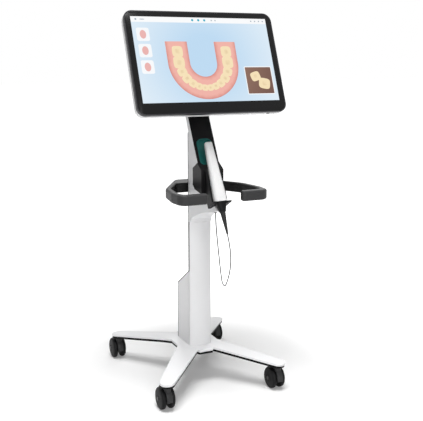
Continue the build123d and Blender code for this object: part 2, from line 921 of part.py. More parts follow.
# Display, built upright with its glass at Y 0 and its depth towards +Y
display_place = Location((0, display_centre_y, display_centre_z), (-display_lean, 0, 0))
hinge_local = display_place.inverse() * Pos(0, hinge_y, hinge_z)
hinge_depth = hinge_local.position.Y
hinge_height = hinge_local.position.Z


def sheet(width, height, corner, front, back, x=0.0, z=0.0):
    """Upright plate with round corners between two depths."""
    outline = Pos(x, z) * RectangleRounded(width, height, corner)
    return extrude(Plane.XZ.offset(-back) * outline, amount=back - front)


def tapered_sheet(front_size, back_size, corner, front, back):
    """Upright plate whose outline changes from its front to its back."""
    faces = [
        Plane.XZ.offset(-front) * RectangleRounded(*front_size, corner),
        Plane.XZ.offset(-back) * RectangleRounded(*back_size, corner),
    ]
    return loft(faces)


glass_width = display_width - 2 * trim_width
glass_height = display_height - 2 * trim_width
glass = sheet(glass_width, glass_height, display_corner - trim_width, 0, glass_thickness)
trim = sheet(display_width, display_height, display_corner, 0, trim_depth)
trim -= glass
window_width = glass_width - 2 * trim_lip
window_height = glass_height - 2 * trim_lip
trim -= sheet(window_width, window_height, display_corner - trim_lip, 0, trim_depth)
screen_width = display_width - 2 * screen_side_margin + 2 * screen_overlap
screen_height = display_height - screen_top_margin - screen_bottom_margin + 2 * screen_overlap
screen_z = (screen_bottom_margin - screen_top_margin) / 2
screen_back = glass_thickness + screen_thickness
screen = sheet(screen_width, screen_height, screen_corner, glass_thickness, screen_back, 0, screen_z)
rear_width = display_width - 2 * rear_inset
rear_height = display_height - 2 * rear_inset
rear_corner = display_corner - rear_inset
wall_back = trim_depth + rear_wall_depth
slope_back = wall_back + rear_slope_depth
boss_back = slope_back + rear_boss_depth
slope_size = (rear_width - 2 * rear_slope_inset, rear_height - 2 * rear_slope_inset)
rear = sheet(rear_width, rear_height, rear_corner, trim_depth, wall_back)
rear += tapered_sheet((rear_width, rear_height), slope_size, rear_corner, wall_back, slope_back)
boss_top = (rear_boss_width - 2 * rear_boss_depth, rear_boss_height - 2 * rear_boss_depth)
rear += tapered_sheet((rear_boss_width, rear_boss_height), boss_top, rear_corner, slope_back, boss_back)
pocket_floor = slope_back - rear_floor
pocket_width = slope_size[0] - rear_pocket_margin
pocket_height = slope_size[1] - rear_pocket_margin
rear -= sheet(pocket_width, pocket_height, rear_corner, trim_depth, pocket_floor)
button_foot = -rear_height / 2 - power_button_proud
button_head = button_foot + power_button_length
button_depth = trim_depth + rear_wall_depth / 2
power_button_x = display_width / 2 - power_button_inset
rear -= rod(power_button_radius + moving_gap, button_foot, button_head, power_button_x, button_depth)
flange_radius = power_button_radius + power_button_flange
rear -= rod(
    flange_radius + moving_gap,
    button_head - moving_gap,
    button_head + power_button_flange + power_button_travel + moving_gap,
    power_button_x,
    button_depth,
)
power_button = rod(power_button_radius, button_foot, button_head, power_button_x, button_depth)
flange_back = button_head + power_button_flange
power_button += rod(flange_radius, button_head, flange_back, power_button_x, button_depth)
board_back = pocket_floor - board_pillar_height
board_front = board_back - board_thickness
board = sheet(board_width, board_height, board_corner, board_front, board_back)
board += sheet(sink_width, sink_height, sink_corner, board_front - sink_depth, board_front)
pillar_x = board_width / 2 - board_pillar_inset
pillar_z = board_height / 2 - board_pillar_inset
for x in (-pillar_x, pillar_x):
    for z in (-pillar_z, pillar_z):
        pillar = Plane.XZ.offset(-pocket_floor) * (Pos(x, z) * Circle(board_pillar_radius))
        board += extrude(pillar, amount=board_pillar_height)
plate_back = boss_back + plate_thickness
plate = sheet(2 * plate_half_width, plate_height, plate_corner, boss_back, plate_back, 0, hinge_height)
ear_root = Pos(boss_back + plate_thickness / 2, hinge_height) * Rectangle(plate_thickness, ear_root_height)
ear_eye = Pos(hinge_depth, hinge_height) * Circle(hinge_radius)
ear = extrude(Plane.YZ * make_hull(ear_root.edges() + ear_eye.edges()), amount=ear_thickness)
ear = Pos(hinge_half_width + moving_gap, 0, 0) * ear
plate += ear
plate += mirror(ear, about=Plane.YZ)
ear_outside = hinge_half_width + moving_gap + ear_thickness
plate -= cross_rod(pin_radius, -ear_outside, ear_outside, hinge_depth, hinge_height)
pin = cross_rod(pin_radius, -ear_outside, ear_outside, hinge_depth, hinge_height)
pin_end = ear_outside + pin_head_thickness
pin += cross_rod(pin_head_radius, ear_outside, pin_end, hinge_depth, hinge_height)
pin += cross_rod(pin_head_radius, -pin_end, -ear_outside, hinge_depth, hinge_height)
display = {
    "display_glass": glass,
    "display_trim": trim,
    "display_screen": screen,
    "display_rear_cover": rear,
    "display_main_board": board,
    "display_mount_plate": plate,
    "tilt_pin": pin,
    "power_button": power_button,
}
for name, piece in display.items():
    nodes[name] = display_place * piece

# The origin goes under the middle of the whole box, between the front leg tips and the rear wheels
front_reach = stem_y + leg_tip_radius
rear_reach = stem_y + caster_trail + hood_outer
origin_y = (rear_reach - front_reach) / 2
os.makedirs("parts", exist_ok=True)
for name, piece in nodes.items():
    export_step(Pos(0, -origin_y, 0) * piece, f"parts/{name}.step")
print(len(nodes), "nodes, moved by", round(-origin_y, 3), "in Y")
print("tilt axis at Y", round(hinge_y - origin_y, 3), "Z", round(hinge_z, 3))
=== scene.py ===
# %% [markdown]
# # A dental scanning cart
# The cart stands on four twin-wheel casters. A slim column carries a leaning neck, a push handle, a
# cradle with the scanning wand, and a touch display that tips on a hinge. The solid pieces come in
# ready made as a fixed frame. This lesson gives each of them its finish, and models what the solids
# leave out or show too plainly: the lit picture on the display, the cover glass, the hanging cable,
# the casters' forks and wheels, and the small fasteners and vents.

# %% Load the frame
from math import cos, pi, radians, sin

import bpy
from mathutils import Matrix, Vector


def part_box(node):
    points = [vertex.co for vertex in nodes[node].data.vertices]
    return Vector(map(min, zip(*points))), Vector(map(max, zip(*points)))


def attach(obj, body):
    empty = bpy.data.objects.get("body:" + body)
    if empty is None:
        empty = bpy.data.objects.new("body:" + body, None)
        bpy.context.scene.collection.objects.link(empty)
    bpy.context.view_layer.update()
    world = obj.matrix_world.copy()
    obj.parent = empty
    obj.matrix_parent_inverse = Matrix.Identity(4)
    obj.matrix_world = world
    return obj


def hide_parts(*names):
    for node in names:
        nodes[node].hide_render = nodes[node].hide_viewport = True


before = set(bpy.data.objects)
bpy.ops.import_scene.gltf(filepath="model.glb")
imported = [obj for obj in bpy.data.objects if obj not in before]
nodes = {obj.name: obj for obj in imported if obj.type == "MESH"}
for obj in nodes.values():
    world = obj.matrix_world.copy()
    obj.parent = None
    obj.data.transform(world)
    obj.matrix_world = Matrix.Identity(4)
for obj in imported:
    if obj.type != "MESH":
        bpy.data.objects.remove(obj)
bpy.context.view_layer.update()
mm = 0.001
corners = ("front_left", "front_right", "rear_left", "rear_right")

# %% [markdown]
# ## Camera
# The camera sits to the left of the cart, higher than the handle, and looks slightly down. Its place
# and lens decide how wide the legs spread in the picture, so they come first.

# %% Camera
camera_place = Vector((-1.0980, -2.5634, 1.1609))
camera_target = Vector((0.0041, -0.1638, 0.6424))
camera_lens = 66.96
bpy.ops.object.camera_add(location=camera_place)
camera = bpy.context.object
camera.rotation_euler = (camera_target - camera_place).to_track_quat("-Z", "Y").to_euler()
camera.data.sensor_width = 36.0
camera.data.lens = camera_lens
bpy.context.scene.camera = camera
print("camera", round((camera_target - camera_place).length, 3), "m from its target")

# %% [markdown]
# ## Cable
# The wand's cable is thin and limp. It leaves the rubber tail, hangs in a narrow loop and goes back
# up into the gland under the cradle's nose. A NURBS spline of order three passes smoothly inside its
# control points, so a short list of given points gives an even bend with no straight pieces.
# The points carry the radius, so the bevel depth is one.

# %% Cable
cable_diameter = 4.2 * mm
cable_route = [
    (-0.2978, 0.5882),
    (-0.3140, 0.5583),
    (-0.3240, 0.5195),
    (-0.3220, 0.4800),
    (-0.3090, 0.4460),
    (-0.2950, 0.4230),
    (-0.2875, 0.4120),
    (-0.2780, 0.4060),
    (-0.2675, 0.4065),
    (-0.2590, 0.4135),
    (-0.2535, 0.4255),
    (-0.2460, 0.4490),
    (-0.2355, 0.4890),
    (-0.2245, 0.5315),
    (-0.2143, 0.5740),
    (-0.2075, 0.6120),
    (-0.2055, 0.6420),
]


def make_cable():
    curve = bpy.data.curves.new("cable", "CURVE")
    curve.dimensions = "3D"
    curve.bevel_depth = 1.0
    curve.bevel_resolution = 5
    curve.use_fill_caps = True
    spline = curve.splines.new("NURBS")
    spline.points.add(len(cable_route) - 1)
    for point, (y, z) in zip(spline.points, cable_route):
        point.co = (0, y, z, 1)
        point.radius = cable_diameter / 2
    spline.order_u = 3
    spline.use_endpoint_u = True
    spline.resolution_u = 10
    piece = bpy.data.objects.new("cable", curve)
    bpy.context.scene.collection.objects.link(piece)
    return piece


cable = make_cable()
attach(cable, "stand")
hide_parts("wand_cable")
print("cable of", len(cable_route), "points")

# %% [markdown]
# ## Light and floor
# The cart stands on a plain pale floor in soft studio light: a wide key lamp high above and a little
# in front, a weaker one before the cart, a faint one behind it, and a pale sky that fills the
# shadows. Where the sky is seen, straight or as a reflection, it shows white. The floor takes the
# cart's shadow near its feet and fades to white further out.

# %% Light and floor
full_white = (1, 1, 1, 1)
sky_level = 0.18
floor_size = 60
floor_tone = 0.92
floor_roughness = 0.9
floor_lift = 0.12
floor_reach = 1.15
floor_fade = 0.6
lamp_aim = Vector((0, -0.05, 0.6))
lamps = {
    "key_lamp": (Vector((-0.4, -0.7, 3.3)), 1.5, 92),
    "front_lamp": (Vector((-0.7, -3.6, 1.8)), 2.2, 50),
    "back_lamp": (Vector((1.6, 2.4, 2.4)), 2.0, 22),
}


def seen_rays(tree):
    """Socket that is one for rays seen straight, through glass or off gloss, and else zero."""
    path = tree.nodes.new("ShaderNodeLightPath")
    seen = path.outputs["Is Camera Ray"]
    for ray in ("Is Transmission Ray", "Is Glossy Ray"):
        either = tree.nodes.new("ShaderNodeMath")
        either.operation = "MAXIMUM"
        tree.links.new(seen, either.inputs[0])
        tree.links.new(path.outputs[ray], either.inputs[1])
        seen = either.outputs[0]
    return seen


def make_sky():
    world = bpy.data.worlds.new("studio_sky")
    bpy.context.scene.world = world
    world.use_nodes = True
    tree = world.node_tree
    tree.nodes.clear()
    lit = tree.nodes.new("ShaderNodeBackground")
    lit.inputs["Color"].default_value = full_white
    lit.inputs["Strength"].default_value = sky_level
    white = tree.nodes.new("ShaderNodeBackground")
    white.inputs["Color"].default_value = full_white
    white.inputs["Strength"].default_value = 1.0
    mix = tree.nodes.new("ShaderNodeMixShader")
    out = tree.nodes.new("ShaderNodeOutputWorld")
    tree.links.new(seen_rays(tree), mix.inputs["Fac"])
    tree.links.new(lit.outputs[0], mix.inputs[1])
    tree.links.new(white.outputs[0], mix.inputs[2])
    tree.links.new(mix.outputs[0], out.inputs["Surface"])


def make_floor():
    bpy.ops.mesh.primitive_plane_add(size=floor_size, location=(0, 0, 0))
    floor = bpy.context.object
    floor.name = "floor"
    material = bpy.data.materials.new("pale_floor")
    material.use_nodes = True
    tree = material.node_tree
    bsdf = tree.nodes["Principled BSDF"]
    bsdf.inputs["Base Color"].default_value = (floor_tone, floor_tone, floor_tone, 1)
    bsdf.inputs["Roughness"].default_value = floor_roughness
    bsdf.inputs["Specular IOR Level"].default_value = 0.0
    place = tree.nodes.new("ShaderNodeTexCoord")
    shrink = tree.nodes.new("ShaderNodeVectorMath")
    shrink.operation = "SCALE"
    shrink.inputs["Scale"].default_value = 1 / floor_reach
    near = tree.nodes.new("ShaderNodeTexGradient")
    near.gradient_type = "SPHERICAL"
    fade = tree.nodes.new("ShaderNodeMapRange")
    fade.inputs["From Max"].default_value = floor_fade
    fade.inputs["To Min"].default_value = 1.0
    fade.inputs["To Max"].default_value = floor_lift
    lift = tree.nodes.new("ShaderNodeMath")
    lift.operation = "MULTIPLY"
    bsdf.inputs["Emission Color"].default_value = full_white
    tree.links.new(place.outputs["Object"], shrink.inputs[0])
    tree.links.new(shrink.outputs["Vector"], near.inputs["Vector"])
    tree.links.new(near.outputs["Fac"], fade.inputs["Value"])
    tree.links.new(seen_rays(tree), lift.inputs[0])
    tree.links.new(fade.outputs["Result"], lift.inputs[1])
    tree.links.new(lift.outputs[0], bsdf.inputs["Emission Strength"])
    floor.data.materials.append(material)


def add_lamp(name, place, size, power):
    bpy.ops.object.light_add(type="AREA", location=place)
    lamp = bpy.context.object
    lamp.name = name
    lamp.data.size = size
    lamp.data.energy = power
    lamp.rotation_euler = (lamp_aim - place).to_track_quat("-Z", "Y").to_euler()


make_sky()
make_floor()
for name, (place, size, power) in lamps.items():
    add_lamp(name, place, size, power)
bpy.context.scene.view_settings.view_transform = "Standard"
print(len(lamps), "lamps and a sky of", sky_level)

# %% [markdown]
# ## Shared surface effects
# Moulded plastic, enamel and rubber all have the same three things at different scales: a fine grain
# that breaks up the reflections, a slow drift of tone over a hand's width, and edges that are never
# quite sharp. All three come from one node group, placed in each material with its own scale. The
# Bevel node bends the normals near an edge, so that each edge catches a thin line of light.

# %% Shared surface effects
drift_scale = 7.0
drift_span = (0.3, 0.7)
edge_radius = 1.2 * mm
grain_depth = 0.2 * mm


def make_grain_group():
    group = bpy.data.node_groups.new("moulded_grain", "ShaderNodeTree")
    group.interface.new_socket("Scale", in_out="INPUT", socket_type="NodeSocketFloat")
    group.interface.new_socket("Height", in_out="OUTPUT", socket_type="NodeSocketFloat")
    group.interface.new_socket("Drift", in_out="OUTPUT", socket_type="NodeSocketFloat")
    group.interface.new_socket("Edge Normal", in_out="OUTPUT", socket_type="NodeSocketVector")
    start = group.nodes.new("NodeGroupInput")
    end = group.nodes.new("NodeGroupOutput")
    place = group.nodes.new("ShaderNodeTexCoord")
    grain = group.nodes.new("ShaderNodeTexNoise")
    grain.inputs["Detail"].default_value = 3.0
    slow = group.nodes.new("ShaderNodeTexNoise")
    slow.inputs["Scale"].default_value = drift_scale
    slow.inputs["Detail"].default_value = 2.0
    edge = group.nodes.new("ShaderNodeBevel")
    edge.samples = 6
    edge.inputs["Radius"].default_value = edge_radius
    group.links.new(place.outputs["Object"], grain.inputs["Vector"])
    group.links.new(place.outputs["Object"], slow.inputs["Vector"])
    group.links.new(start.outputs["Scale"], grain.inputs["Scale"])
    group.links.new(grain.outputs["Fac"], end.inputs["Height"])
    group.links.new(slow.outputs["Fac"], end.inputs["Drift"])
    group.links.new(edge.outputs["Normal"], end.inputs["Edge Normal"])
    return group


grain_group = make_grain_group()


def place_grain(tree, scale):
    grain = tree.nodes.new("ShaderNodeGroup")
    grain.node_tree = grain_group
    grain.inputs["Scale"].default_value = scale
    return grain


def two_tone(tree, first, second, low=0.0, high=1.0):
    ramp = tree.nodes.new("ShaderNodeValToRGB")
    ramp.color_ramp.elements[0].position = low
    ramp.color_ramp.elements[1].position = high
    ramp.color_ramp.elements[0].color = (*first, 1)
    ramp.color_ramp.elements[1].color = (*second, 1)
    return ramp


def surface(name, tone, drift, roughness, grain_scale, bump, **sockets):
    """Material whose colour and gloss drift a little, with a fine grain."""
    material = bpy.data.materials.new(name)
    material.use_nodes = True
    tree = material.node_tree
    bsdf = tree.nodes["Principled BSDF"]
    grain = place_grain(tree, grain_scale)
    deep = [c * (1 - drift) for c in tone]
    pale = [min(1.0, c * (1 + drift)) for c in tone]
    ramp = two_tone(tree, deep, pale, *drift_span)
    gloss = tree.nodes.new("ShaderNodeMapRange")
    gloss.inputs["To Min"].default_value = roughness[0]
    gloss.inputs["To Max"].default_value = roughness[1]
    relief = tree.nodes.new("ShaderNodeBump")
    relief.inputs["Strength"].default_value = bump
    relief.inputs["Distance"].default_value = grain_depth
    tree.links.new(grain.outputs["Drift"], ramp.inputs["Fac"])
    tree.links.new(ramp.outputs["Color"], bsdf.inputs["Base Color"])
    tree.links.new(grain.outputs["Height"], gloss.inputs["Value"])
    tree.links.new(gloss.outputs["Result"], bsdf.inputs["Roughness"])
    tree.links.new(grain.outputs["Height"], relief.inputs["Height"])
    tree.links.new(grain.outputs["Edge Normal"], relief.inputs["Normal"])
    tree.links.new(relief.outputs["Normal"], bsdf.inputs["Normal"])
    for socket, value in sockets.items():
        bsdf.inputs[socket.replace("_", " ")].default_value = value
    return material


def paint(material, *names):
    for name in names:
        piece = nodes[name]
        piece.data.materials.clear()
        piece.data.materials.append(material)


# %% [markdown]
# ## Finishes
# White enamel covers the base, column, neck and the display's back. Black and charcoal mouldings have
# a spark-eroded grain, the wand is a smoother white, and the wheels are dull rubber. The handle is
# charcoal, and its faces towards the middle of its loop are painted black as painted shade.

# %% Finishes
enamel = surface("white_enamel", (0.80, 0.80, 0.81), 0.012, (0.30, 0.42), 700, 0.10)
wand_white = surface("wand_white", (0.66, 0.66, 0.66), 0.008, (0.22, 0.32), 500, 0.05)
black = surface(
    "black_moulding", (0.004, 0.004, 0.0045), 0.15, (0.34, 0.48), 1400, 0.20, Specular_IOR_Level=0.12
)
charcoal = surface(
    "charcoal_moulding", (0.026, 0.026, 0.027), 0.10, (0.45, 0.62), 1100, 0.30, Specular_IOR_Level=0.25
)
tread_rubber = surface(
    "tread_rubber", (0.006, 0.006, 0.0065), 0.20, (0.42, 0.60), 900, 0.30, Specular_IOR_Level=0.14
)
soft_rubber = surface(
    "soft_rubber", (0.012, 0.012, 0.012), 0.15, (0.50, 0.65), 1200, 0.30, Specular_IOR_Level=0.22
)
teal = surface(
    "teal_moulding", (0.006, 0.110, 0.100), 0.08, (0.28, 0.40), 900, 0.10, Specular_IOR_Level=0.3
)
silver = surface("silver_edge", (0.035, 0.035, 0.038), 0.02, (0.30, 0.40), 1600, 0.10, Metallic=0.9)
coated_steel = surface("coated_steel", (0.030, 0.030, 0.032), 0.10, (0.35, 0.48), 1300, 0.25)
zinc = surface("zinc_steel", (0.56, 0.56, 0.58), 0.05, (0.25, 0.40), 1500, 0.15, Metallic=1.0)
cable_jacket = surface("cable_jacket", (0.12, 0.12, 0.125), 0.03, (0.42, 0.55), 800, 0.15)
button_grey = surface("button_grey", (0.46, 0.48, 0.50), 0.03, (0.45, 0.55), 1200, 0.20)
board_green = surface("board_green", (0.020, 0.110, 0.050), 0.10, (0.35, 0.50), 600, 0.20)
supply_grey = surface("supply_grey", (0.42, 0.42, 0.44), 0.05, (0.35, 0.50), 1200, 0.15, Metallic=0.6)
lens = surface("coated_lens", (0.030, 0.035, 0.050), 0.10, (0.05, 0.08), 300, 0.02)
black_glass = surface(
    "black_glass", (0.004, 0.004, 0.0045), 0.05, (0.10, 0.14), 60, 0.01, Specular_IOR_Level=0.18
)
handle_middle = (0, -0.15, 0)
# Painted shade: the black that the handle's faces towards the middle of its loop get stands for the
# shade inside the loop.
painted_shade_black = (0.003, 0.003, 0.003, 1)
painted_shade_span = (0.15, 0.35)


def paint_handle_shade():
    """Charcoal handle with painted shade: its faces towards the middle of its loop are painted black.
    """
    material = charcoal.copy()
    material.name = "handle_painted_shade"
    tree = material.node_tree
    bsdf = tree.nodes["Principled BSDF"]
    tone = bsdf.inputs["Base Color"].links[0].from_socket
    place = tree.nodes.new("ShaderNodeTexCoord")
    outward = tree.nodes.new("ShaderNodeNewGeometry")
    inward = tree.nodes.new("ShaderNodeVectorMath")
    inward.operation = "SUBTRACT"
    inward.inputs[0].default_value = handle_middle
    level = tree.nodes.new("ShaderNodeVectorMath")
    level.operation = "MULTIPLY"
    level.inputs[1].default_value = (1, 1, 0)
    unit = tree.nodes.new("ShaderNodeVectorMath")
    unit.operation = "NORMALIZE"
    turned = tree.nodes.new("ShaderNodeVectorMath")
    turned.operation = "DOT_PRODUCT"
    mask = tree.nodes.new("ShaderNodeMapRange")
    mask.inputs["From Min"].default_value = painted_shade_span[0]
    mask.inputs["From Max"].default_value = painted_shade_span[1]
    mix = tree.nodes.new("ShaderNodeMix")
    mix.data_type = "RGBA"
    mix.inputs["B"].default_value = painted_shade_black
    tree.links.new(place.outputs["Object"], inward.inputs[1])
    tree.links.new(inward.outputs["Vector"], level.inputs[0])
    tree.links.new(level.outputs["Vector"], unit.inputs[0])
    tree.links.new(unit.outputs["Vector"], turned.inputs[0])
    tree.links.new(outward.outputs["Normal"], turned.inputs[1])
    tree.links.new(turned.outputs["Value"], mask.inputs["Value"])
    tree.links.new(mask.outputs["Result"], mix.inputs["Factor"])
    tree.links.new(tone, mix.inputs["A"])
    tree.links.new(mix.outputs["Result"], bsdf.inputs["Base Color"])
    return material


shaded_handle = paint_handle_shade()
paint(enamel, "base_cover", "column_front", "neck_shell", "power_box", "display_rear_cover")
paint(wand_white, "wand_body", "wand_sleeve")
paint(black, "base_frame", "cradle_body", "neck_panel", "mains_inlet", "wand_tail_cap")
paint(charcoal, "column_back", "power_box_lid")
# The handle's faces towards the middle of its loop carry painted shade.
paint(shaded_handle, "handle")
paint(soft_rubber, "wand_strain_relief", "cable_gland")
paint(teal, "cradle_liner")
paint(silver, "display_trim", "power_button")
paint(coated_steel, "base_hub_block", "column_core", "display_mount_plate", "tilt_head")
paint(zinc, "tilt_pin")
paint(button_grey, "wand_button_left", "wand_button_right")
paint(board_green, "display_main_board", "display_screen")
paint(supply_grey, "power_supply")
paint(lens, "wand_window")
paint(black_glass, "display_glass")
for corner in corners:
    paint(black, f"caster_hood_{corner}")
    paint(zinc, f"caster_stem_{corner}")
    paint(coated_steel, f"caster_axle_{corner}")
    paint(tread_rubber, f"caster_wheel_left_{corner}", f"caster_wheel_right_{corner}")
cable.data.materials.append(cable_jacket)
print("finishes on", len(nodes), "nodes")

# %% [markdown]
# ## Modelling helpers
# Every new piece starts as a primitive, is shaped in edit mode and finished with modifiers. These few
# helpers keep the selection tidy, because an operator acts on all that is selected.

# %% Modelling helpers
backwards = Vector((0, 1, 0))
rightwards = Vector((1, 0, 0))
upwards = Vector((0, 0, 1))
level_share = 0.9
bevel_angle = radians(35)
smooth_angle = radians(40)


def deselect():
    if bpy.context.object and bpy.context.object.mode != "OBJECT":
        bpy.ops.object.mode_set(mode="OBJECT")
    bpy.ops.object.select_all(action="DESELECT")


def pick(piece):
    deselect()
    piece.select_set(True)
    bpy.context.view_layer.objects.active = piece


def named(name):
    piece = bpy.context.object
    piece.name = name
    piece.data.name = name
    return piece


def edit_all(piece):
    pick(piece)
    bpy.ops.object.mode_set(mode="EDIT")
    bpy.ops.mesh.select_all(action="SELECT")


def select_faces(piece, direction):
    """Puts a piece in edit mode with only those faces selected that look in a direction."""
    pick(piece)
    bpy.ops.object.mode_set(mode="EDIT")
    bpy.ops.mesh.select_mode(type="FACE")
    bpy.ops.mesh.select_all(action="DESELECT")
    bpy.ops.object.mode_set(mode="OBJECT")
    for face in piece.data.polygons:
        face.select = face.normal.dot(direction) > level_share
    bpy.ops.object.mode_set(mode="EDIT")


def draw_up(height):
    """Draws the selected flat shape up to a height and leaves edit mode with a closed block."""
    bpy.ops.mesh.extrude_region_move(TRANSFORM_OT_translate={"value": (0, 0, height)})
    bpy.ops.mesh.select_all(action="SELECT")
    bpy.ops.mesh.normals_make_consistent(inside=False)
    bpy.ops.object.mode_set(mode="OBJECT")


def apply_place(piece, matrix=None):
    """Moves a piece by a matrix, if one is given, and puts its place into its mesh."""
    if matrix is not None:
        piece.matrix_world = matrix @ piece.matrix_world
    pick(piece)
    bpy.ops.object.transform_apply(location=True, rotation=True, scale=True)
    return piece


def apply_modifiers(piece):
    pick(piece)
    for modifier in list(piece.modifiers):
        bpy.ops.object.modifier_apply(modifier=modifier.name)


def combine(piece, other, operation):
    """Adds another piece to a piece or cuts it away, and removes the other."""
    change = piece.modifiers.new("combine", "BOOLEAN")
    change.operation = operation
    change.object = other
    apply_modifiers(piece)
    bpy.data.objects.remove(other)


def soften(piece, width, segments=3):
    """Rounds the sharp edges of a piece and shades it smooth between them."""
    bevel = piece.modifiers.new("soft_edges", "BEVEL")
    bevel.width = width
    bevel.segments = segments
    bevel.limit_method = "ANGLE"
    bevel.angle_limit = bevel_angle
    apply_modifiers(piece)
    bpy.ops.object.shade_smooth_by_angle(angle=smooth_angle)
    return piece


def plate(name, centre, size, corner, thickness, lift=0.0):
    """Round-cornered plate that lies flat, its foot at a height."""
    deselect()
    bpy.ops.mesh.primitive_plane_add(size=1, location=(centre[0], centre[1], lift))
    piece = named(name)
    piece.scale = (size[0], size[1], 1)
    apply_place(piece)
    edit_all(piece)
    if corner:
        bpy.ops.mesh.bevel(affect="VERTICES", offset=corner, segments=8)
        bpy.ops.mesh.select_all(action="SELECT")
    draw_up(thickness)
    return piece


def join(name, pieces):
    pick(pieces[0])
    for piece in pieces[1:]:
        piece.select_set(True)
    if len(pieces) > 1:
        bpy.ops.object.join()
    return named(name)


def copy_of(piece):
    twin = piece.copy()
    twin.data = piece.data.copy()
    bpy.context.scene.collection.objects.link(twin)
    return twin


def dress(piece, material, body, slot, *replaced):
    """Gives a finished piece its material and its body; the slot is not used."""
    piece.data.materials.clear()
    piece.data.materials.append(material)
    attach(piece, body)
    if replaced:
        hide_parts(*replaced)
    return piece


# %% [markdown]
# ## Casters
# Each caster has two smooth wheels on either side of a slim fork, whose narrow fender runs over their
# inner edges. A wheel starts as a cylinder. Its outer face is inset twice and drawn out into a low
# dome, and the tread is rounded. The fork starts as a disc, cut off level just below the axle. Its
# hub and swivel boss are added, and the room for the wheels, the axle and the stem is cut away.

# %% Casters
wheel_radius = 38 * mm
wheel_inside = 8 * mm
wheel_outside = 26 * mm
tread_round = 5 * mm
dome_rise = 3 * mm
dome_step = 11 * mm
dome_shares = (0.7, 0.3)
round_sides = 64
bore_radius = 4.3 * mm
fork_half = 7 * mm
fender_half = 10 * mm
fender_radius = 44.5 * mm
fender_skirt = 4 * mm
room_radius = 40.5 * mm
hub_radius = 15 * mm
caster_trail = 21 * mm
boss_radius = 12 * mm
boss_foot = 22.5 * mm
boss_top = 46.5 * mm
stem_room = 5.3 * mm
fork_edge = 0.8 * mm
swivel = (0, -caster_trail)


def bar(name, radius, low, high, upright_at=None):
    """Cylinder along X through the axle, or upright at a place."""
    deselect()
    middle = (low + high) / 2
    location, turn = (middle, 0, 0), (0, pi / 2, 0)
    if upright_at:
        location, turn = (*upright_at, middle), (0, 0, 0)
    bpy.ops.mesh.primitive_cylinder_add(
        vertices=round_sides, radius=radius, depth=high - low, location=location, rotation=turn
    )
    return apply_place(named(name))


def make_wheel():
    """Wheel on the axle at the origin, its dome towards positive X."""
    wheel = bar("wheel", wheel_radius, wheel_inside, wheel_outside - dome_rise)
    select_faces(wheel, rightwards)
    for share in dome_shares:
        bpy.ops.mesh.inset(thickness=dome_step, depth=share * dome_rise)
    bpy.ops.object.mode_set(mode="OBJECT")
    soften(wheel, tread_round, 4)
    combine(wheel, bar("bore", bore_radius, 0, 2 * wheel_outside), "DIFFERENCE")
    return wheel


def make_fork():
    """Fork with the axle at the origin and the swivel axis in front of it."""
    fork = bar("fork", fender_radius, -fender_half, fender_half)
    edit_all(fork)
    bpy.ops.mesh.bisect(
        plane_co=(0, 0, -fender_skirt), plane_no=(0, 0, 1), clear_inner=True, use_fill=True
    )
    bpy.ops.object.mode_set(mode="OBJECT")
    combine(fork, bar("hub", hub_radius, -fork_half, fork_half), "UNION")
    combine(fork, bar("boss", boss_radius, boss_foot, boss_top, swivel), "UNION")
    combine(fork, bar("room", room_radius, fork_half, 2 * wheel_outside), "DIFFERENCE")
    combine(fork, bar("room", room_radius, -2 * wheel_outside, -fork_half), "DIFFERENCE")
    combine(fork, bar("bore", bore_radius, -wheel_outside, wheel_outside), "DIFFERENCE")
    combine(fork, bar("stem", stem_room, boss_foot - mm, 2 * boss_top, swivel), "DIFFERENCE")
    return soften(fork, fork_edge, 2)


wheel_pattern = make_wheel()
fork_pattern = make_fork()
for corner in corners:
    axle_low, axle_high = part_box(f"caster_axle_{corner}")
    axle_place = Matrix.Translation((axle_low + axle_high) / 2)
    fork = apply_place(copy_of(fork_pattern), axle_place)
    fork.name = fork.data.name = f"caster_fork_{corner}"
    dress(fork, charcoal, f"caster_{corner}", "black_plastic", f"caster_hood_{corner}")
    for side, turn in (("left", pi), ("right", 0)):
        wheel = apply_place(copy_of(wheel_pattern), axle_place @ Matrix.Rotation(turn, 4, "Z"))
        wheel.name = wheel.data.name = f"smooth_wheel_{side}_{corner}"
        node = f"caster_wheel_{side}_{corner}"
        dress(wheel, tread_rubber, f"wheel_{side}_{corner}", "caster_rubber", node)
bpy.data.objects.remove(wheel_pattern)
bpy.data.objects.remove(fork_pattern)
print("casters", len(corners))

# %% [markdown]
# ## Cover glass
# The display's front is one sheet of glass, black outside the lit part. Its front edge is ground to a
# small round, which a plain extruded plate lacks, so it is remade here at the solid's own size and
# place: a plate with round corners, its edges softened, laid into the display's lean.

# %% Cover glass
display_lean = radians(22.3)
glass_thickness = 3 * mm
glass_corner = 26 * mm
glass_edge = 0.8 * mm
glass_low, glass_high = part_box("display_glass")
glass_normal = Vector((0, -cos(display_lean), sin(display_lean)))
glass_up = Vector((0, sin(display_lean), cos(display_lean)))
glass_front = (glass_low + glass_high) / 2 + glass_normal * glass_thickness / 2
glass_width = glass_high.x - glass_low.x
glass_height = (glass_high.z - glass_low.z - glass_thickness * sin(display_lean)) / cos(display_lean)
glass_turn = Matrix((rightwards, glass_up, glass_normal)).transposed().to_4x4()
on_glass = Matrix.Translation(glass_front) @ glass_turn
glass_size = (glass_width, glass_height)
cover_glass = plate("cover_glass", (0, 0), glass_size, glass_corner, glass_thickness, -glass_thickness)
soften(cover_glass, glass_edge)
apply_place(cover_glass, on_glass)
dress(cover_glass, black_glass, "display", "screen_glass", "display_glass")
print("glass", round(glass_width, 4), "by", round(glass_height, 4))

# %% [markdown]
# ## Lit colours
# A lit display gives light instead of taking it, so its colours go to Emission over a black base, and
# the gloss of the glass still lies on top. Flat fields get a slow drift like a real backlight. The
# scanned teeth get their shading from their height above the glass: low places are dark and warm,
# high places pale.

# %% Lit colours
dark_base = (0.004, 0.004, 0.0045, 1)
glass_roughness = 0.14
glass_gloss = 0.18
backlight_grain = 400
glow_edge = 0.75
mottle_share = 0.35
relief_span = (0.25, 1.15)


